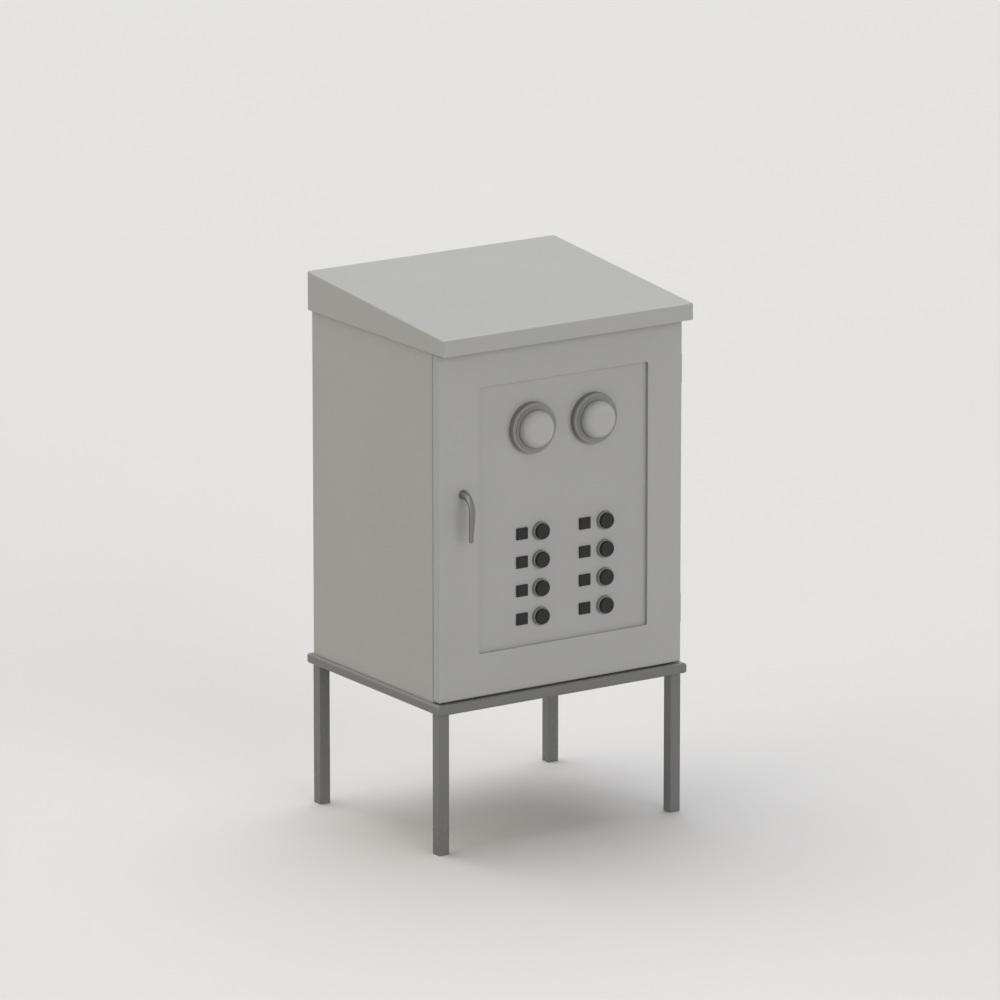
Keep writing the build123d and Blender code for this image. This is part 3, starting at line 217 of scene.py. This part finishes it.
# Plated zinc on steel: bright and cool;
# its crystals are too fine to see and are drawn 2.5 mm wide, so that they show
zinc_bright = zinc_plate("bright_zinc_fastener", "#C6C7C4", "#B4B6B6", roughness=0.28, spangle_mm=2.5)
dress(zinc_sheet, "gland_plate")
dress(zinc_bright, "gland_screws", "frame_bolts", "frame_nuts")

# Rain roof
# Folded cap of the same sheet and paint, higher at the rear so that water runs off the front;
# it stands on four welded posts and is bolted from inside.

dress(cabinet_grey, "rain_roof", "roof_posts")
dress(zinc_bright, "roof_bolts")

# Hinges
# Two lift-off barrel hinges on the right side: leaves painted with the cabinet,
# zinc-plated steel pins with a collar that carries the door.

dress(cabinet_grey, "hinge_frame_leaves", "hinge_door_leaves")
dress(zinc_bright, "hinge_pins")

# Mounting plate and rails
# Galvanised plate held by nuts on four studs at the rear, with two 35 mm top-hat rails
# rolled from zinc-plated strip and screwed to it.

dress(zinc_sheet, "mounting_plate")
# Passivated zinc on strip: a pale, faintly yellow film;
# its crystals are too fine to see and are drawn 6 mm wide, so that they show
rail_zinc = zinc_plate("passivated_zinc_strip", "#D8D5C9", "#D1CEC2", roughness=0.36, spangle_mm=6.0)
dress(rail_zinc, "mounting_rail_lower", "mounting_rail_upper")
dress(zinc_bright, "plate_studs", "plate_nuts", "rail_screws")

# Devices on the rails
# Moulded breaker with a black toggle, a row of plug-in relays and a row of terminal blocks,
# each clipped on its rail; slotted screws of plated steel clamp the wires.

# Polyamide moulded with a fine grain: pale grey, half matt
breaker_shell = moulded_plastic("breaker_polyamide", "#C9C9C4", "#C0C0BB", roughness=0.45, grain_mm=1.6)
# Polycarbonate moulded smooth: paler than the breaker, and glossier
relay_cover = moulded_plastic("relay_polycarbonate", "#D6D5CE", "#CDCCC5", roughness=0.30, grain_mm=2.0)
# Polyamide moulded in thin slices: mid grey, the dullest of the three
terminal_grey = moulded_plastic("terminal_polyamide", "#8C8E8E", "#838585", roughness=0.50, grain_mm=1.4)
# Polyamide moulded in a polished tool: black with a clear gleam along its edge
toggle_black = moulded_plastic("toggle_polyamide", "#171717", "#1F1F1F", roughness=0.35, grain_mm=1.4)


def new_piece(name, build, material, smooth):
    """Object with a mesh from a finished bmesh, shaded smooth or flat, and one material."""
    mesh = bpy.data.meshes.new(name)
    build.to_mesh(mesh)
    build.free()
    for face in mesh.polygons:
        face.use_smooth = smooth
    mesh.materials.append(material)
    piece = bpy.data.objects.new(name, mesh)
    bpy.context.collection.objects.link(piece)
    return piece


screw_radius = 0.0026
screw_height = 0.0014
screw_slot = 0.0008
screw_sides = 18
screw_build = bmesh.new()
for side in (-1, 1):
    half = bmesh.ops.create_cone(
        screw_build,
        cap_ends=True,
        segments=screw_sides,
        radius1=screw_radius,
        radius2=screw_radius,
        depth=screw_height,
        matrix=Matrix.Rotation(pi / 2, 4, "X"),
    )
    corners = half["verts"]
    edges = {edge for corner in corners for edge in corner.link_edges}
    faces = {face for corner in corners for face in corner.link_faces}
    cut = bmesh.ops.bisect_plane(
        screw_build,
        geom=[*corners, *edges, *faces],
        plane_co=(side * screw_slot / 2, 0.0, 0.0),
        plane_no=(side, 0.0, 0.0),
        clear_inner=True,
    )
    rim = [item for item in cut["geom_cut"] if isinstance(item, bmesh.types.BMEdge)]
    bmesh.ops.edgenet_fill(screw_build, edges=rim)
bmesh.ops.recalc_face_normals(screw_build, faces=screw_build.faces)
screw_shape = bpy.data.meshes.new("terminal_screw_shape")
screw_build.to_mesh(screw_shape)
screw_build.free()

# For each row: its devices or poles, the screws side by side on one, the pitch of the devices
# and of those screws, how far the screws' step stands behind the front, and how far above
# and below the middle it lies
head_rows = (
    ("main_breaker", 3, 1, 0.018, 0.0, 0.020, 0.0328),
    ("control_relays", 8, 2, 0.026, 0.010, 0.028, 0.0295),
    ("terminal_blocks", 20, 1, 0.008, 0.0, 0.016, 0.0220),
)
heads_build = bmesh.new()
for name, count, per_device, pitch, spacing, setback, reach in head_rows:
    low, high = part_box(name)
    middle_x = (low[0] + high[0]) / 2
    middle_z = (low[2] + high[2]) / 2
    head_y = low[1] + setback - screw_height / 2
    for device in range(count):
        for place in range(per_device):
            for side in (-1, 1):
                shift = (device - (count - 1) / 2) * pitch + (place - (per_device - 1) / 2) * spacing
                spot = Vector((middle_x + shift, head_y, middle_z + side * reach))
                first = len(heads_build.verts)
                heads_build.from_mesh(screw_shape)
                heads_build.verts.ensure_lookup_table()
                bmesh.ops.translate(heads_build, vec=spot, verts=heads_build.verts[first:])
terminal_screws = new_piece("terminal_screws", heads_build, zinc_bright, smooth=False)
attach(terminal_screws, "cabinet")
dress(breaker_shell, "main_breaker")
dress(relay_cover, "control_relays")
dress(terminal_grey, "terminal_blocks")
dress(toggle_black, "breaker_toggle")

# Door
# Pan bent from 2 mm sheet with a pressed recess for the controls, stoved with the shell;
# a strip of foamed rubber runs round its inside.

dress(cabinet_grey, "door_panel")
# Foamed rubber: black and matt, with cells just under a millimetre wide
gasket_rubber = moulded_plastic("foamed_rubber", "#1B1B1B", "#262626", roughness=0.85, grain_mm=0.9)
dress(gasket_rubber, "door_gasket")

# Signal lamps
# Two lamps with a stepped bezel of grey-enamelled aluminium, an opal moulded dome,
# a black can behind the door and a board with its emitter.

lamp_names = ("left", "right")
lens_wall = 0.0025
crown_rise = 0.0012
shoulder_radius = 0.018
shoulder_steps = 14
crown_steps = 6
lens_steps = 96
merge_distance = 1e-6
glow_depth = 0.006
# Enamel on turned aluminium: a smooth grey, a little duller than the door
bezel_grey = sprayed_paint("lamp_bezel_enamel", "#7B7B79", "#757573", roughness=0.36, peel_mm=1.8)
# Opal acrylic, moulded: light goes a few millimetres in and comes out again, so the dome shades softly;
# it has no grain, and the 40 mm pattern is only a slight unevenness of the pigment
opal_lens = moulded_plastic(
    "opal_acrylic",
    "#A3A3A1",
    "#9F9F9D",
    roughness=0.38,
    grain_mm=40.0,
    Subsurface_Weight=0.6,
    Subsurface_Scale=glow_depth,
    Subsurface_Radius=(1.0, 1.0, 1.0),
)
# ABS, moulded: black, half matt
can_black = moulded_plastic("lamp_can_abs", "#191919", "#202020", roughness=0.55, grain_mm=1.4)
# Glass-fibre laminate under green varnish: an even dark green with a soft gloss
board_green = moulded_plastic("lamp_board_laminate", "#1E5A38", "#1A4F31", roughness=0.40, grain_mm=1.0)
for side in lamp_names:
    dress(bezel_grey, f"lamp_bezel_{side}")
    dress(can_black, f"lamp_housing_{side}")
    lens_low, lens_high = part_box(f"lamp_lens_{side}")
    lens_radius = (lens_high[0] - lens_low[0]) / 2
    lens_middle = Vector(((lens_low[0] + lens_high[0]) / 2, lens_high[1], (lens_low[2] + lens_high[2]) / 2))
    lens_top = lens_high[1] - lens_low[1] - crown_rise
    crown_reach = lens_radius - shoulder_radius
    crown_radius = (crown_reach**2 + crown_rise**2) / (2 * crown_rise)
    crown_spread = asin(crown_reach / crown_radius)
    outline = [(lens_radius - lens_wall, 0.0), (lens_radius, 0.0)]
    for step in range(shoulder_steps + 1):
        turn = pi / 2 * step / shoulder_steps
        reach = crown_reach + shoulder_radius * cos(turn)
        outline.append((reach, lens_top - shoulder_radius + shoulder_radius * sin(turn)))
    for step in range(1, crown_steps + 1):
        turn = crown_spread * (1 - step / crown_steps)
        outline.append((crown_radius * sin(turn), lens_top + crown_rise - crown_radius * (1 - cos(turn))))
    lens_build = bmesh.new()
    corners = [lens_build.verts.new(lens_middle + Vector((reach, -rise, 0.0))) for reach, rise in outline]
    edges = [lens_build.edges.new(pair) for pair in zip(corners, corners[1:])]
    bmesh.ops.spin(
        lens_build,
        geom=corners + edges,
        cent=lens_middle,
        axis=(0.0, 1.0, 0.0),
        angle=2 * pi,
        steps=lens_steps,
        use_merge=True,
    )
    bmesh.ops.remove_doubles(lens_build, verts=lens_build.verts, dist=merge_distance)
    bmesh.ops.recalc_face_normals(lens_build, faces=lens_build.faces)
    lens = new_piece(f"lamp_dome_{side}", lens_build, opal_lens, smooth=True)
    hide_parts(f"lamp_lens_{side}")
    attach(lens, "door")
dress(board_green, "lamp_boards")

# Push buttons and plates
# Eight buttons in ring bezels of grey-enamelled aluminium with black moulded caps,
# nuts and contact blocks behind, and a blank black plate beside each.

button_count = 8
# Enamel on turned aluminium rings: a smooth grey with a thin gleam round the rim
ring_grey = sprayed_paint("button_ring_enamel", "#757574", "#6E6E6D", roughness=0.34, peel_mm=1.6)
# Phenolic pressed in a mould: black, hard and dull
cap_black = moulded_plastic("button_phenolic", "#181818", "#1D1D1D", roughness=0.55, grain_mm=1.2)
# The same phenolic in sheet: black, a little duller still
plate_black = moulded_plastic("plate_phenolic", "#181818", "#1D1D1D", roughness=0.58, grain_mm=1.2)
dress(ring_grey, "button_bezels")
dress(cap_black, "button_nuts", *[f"button_cap_{number}" for number in range(1, button_count + 1)])
dress(plate_black, "legend_plates")
dress(breaker_shell, "contact_blocks")

# Handle and latch
# Cast lever on a round rose with a bush through the door, a plated steel spindle,
# and a flat zinc-plated cam screwed to its end.

cast_detail = 4.0
cast_relief = 0.10
# Zinc alloy, cast and tumbled: a soft grey metal;
# the fine grain of the mould is drawn 3 mm wide, so that it shows
lever_metal = grained_skin(
    "satin_zinc_casting",
    ("#8E8E88", "#84847D"),
    roughness=0.42,
    grain_mm=3.0,
    detail=cast_detail,
    relief=cast_relief,
    Metallic=1.0,
)
dress(lever_metal, "handle_lever", "handle_rose")
dress(zinc_bright, "handle_spindle", "handle_nut", "latch_cam", "cam_screw")

# Studio
# Pale matt floor under an even surround, with three broad soft lamps far away: one high above
# the rear right, one behind the left, both nearly white, and a plain fill ahead that gloss doesn't mirror.

floor_half = 60.0
floor_clouds_per_metre = 0.7
surround_level = 0.30
# Painted board: pale and matt, with faint clouds about 1.4 m wide
floor_material, floor_tree, floor_shader, floor_place = start_material("matt_floor_board", Roughness=0.9)
floor_cloud = add_node(
    floor_tree,
    "ShaderNodeTexNoise",
    {"Scale": floor_clouds_per_metre, "Detail": 2.0},
    [("Vector", floor_place)],
)
floor_tint = add_node(
    floor_tree,
    "ShaderNodeMix",
    {"data_type": "RGBA", mix_first: linear("#C9C7C5"), mix_second: linear("#C6C4C2")},
    [(0, floor_cloud.outputs["Fac"])],
)
floor_tree.links.new(floor_tint.outputs[mix_result], floor_shader.inputs["Base Color"])
floor_build = bmesh.new()
bmesh.ops.create_grid(floor_build, x_segments=1, y_segments=1, size=floor_half)
studio_floor = new_piece("studio_floor", floor_build, floor_material, smooth=False)

world = bpy.data.worlds.new("studio_surround")
bpy.context.scene.world = world
world.use_nodes = True
world_tree = world.node_tree
lit_surround = world_tree.nodes["Background"]
lit_surround.inputs["Color"].default_value = linear("#FFFFFF")
lit_surround.inputs["Strength"].default_value = surround_level
seen_surround = add_node(world_tree, "ShaderNodeBackground", {"Color": linear("#DFDFDE"), "Strength": 1.0})
ray = add_node(world_tree, "ShaderNodeLightPath", {})
direct = add_node(
    world_tree,
    "ShaderNodeMath",
    {"operation": "MAXIMUM"},
    [(0, ray.outputs["Is Camera Ray"]), (1, ray.outputs["Is Glossy Ray"])],
)
seen = add_node(
    world_tree,
    "ShaderNodeMath",
    {"operation": "MAXIMUM"},
    [(0, direct.outputs[0]), (1, ray.outputs["Is Transmission Ray"])],
)
surround = add_node(
    world_tree,
    "ShaderNodeMixShader",
    {},
    [(0, seen.outputs[0]), (1, lit_surround.outputs[0]), (2, seen_surround.outputs[0])],
)
world_tree.links.new(surround.outputs[0], world_tree.nodes["World Output"].inputs["Surface"])


def soft_lamp(name, azimuth, elevation, spread, level, colour, mirrored=True):
    """Distant lamp of a broad disc, given as the level that it lends a surface facing it.

    One that isn't mirrored lights surfaces without showing in their gloss.
    """
    lamp = bpy.data.lights.new(name, "SUN")
    lamp.angle = radians(spread)
    lamp.energy = level * pi
    lamp.color = linear(colour)[:3]
    holder = bpy.data.objects.new(name, lamp)
    holder.visible_glossy = mirrored
    bpy.context.collection.objects.link(holder)
    turn = radians(azimuth)
    lift = radians(elevation)
    away = Vector((sin(turn) * cos(lift), -cos(turn) * cos(lift), sin(lift)))
    holder.rotation_euler = away.to_track_quat("Z", "Y").to_euler()


soft_lamp("top_lamp", azimuth=150, elevation=70, spread=56, level=0.68, colour="#F3F7FF")
soft_lamp("left_lamp", azimuth=-124, elevation=34, spread=90, level=0.52, colour="#FFF7E6")
soft_lamp("front_lamp", azimuth=5, elevation=13, spread=50, level=0.62, colour="#FFFFFF", mirrored=False)

# Camera
# A long lens far off, left of the front and a little above, as in the photograph;
# its angle, distance and aim are fitted to the cabinet there.

photo_azimuth = radians(-33.53)
photo_elevation = radians(14.40)
photo_distance = 18.861
photo_target = Vector((0.0088, 0.01495, 0.6602))
photo_lens_mm = 327.4
sensor_mm = 36.0
camera_data = bpy.data.cameras.new("photo_camera")
camera_data.lens = photo_lens_mm
camera_data.sensor_width = sensor_mm
camera = bpy.data.objects.new("photo_camera", camera_data)
bpy.context.collection.objects.link(camera)
sight = Vector(
    (
        sin(photo_azimuth) * cos(photo_elevation),
        -cos(photo_azimuth) * cos(photo_elevation),
        sin(photo_elevation),
    )
)
camera.location = photo_target + photo_distance * sight
camera.rotation_euler = sight.to_track_quat("Z", "Y").to_euler()
bpy.context.scene.camera = camera
bpy.context.scene.view_settings.view_transform = "Standard"
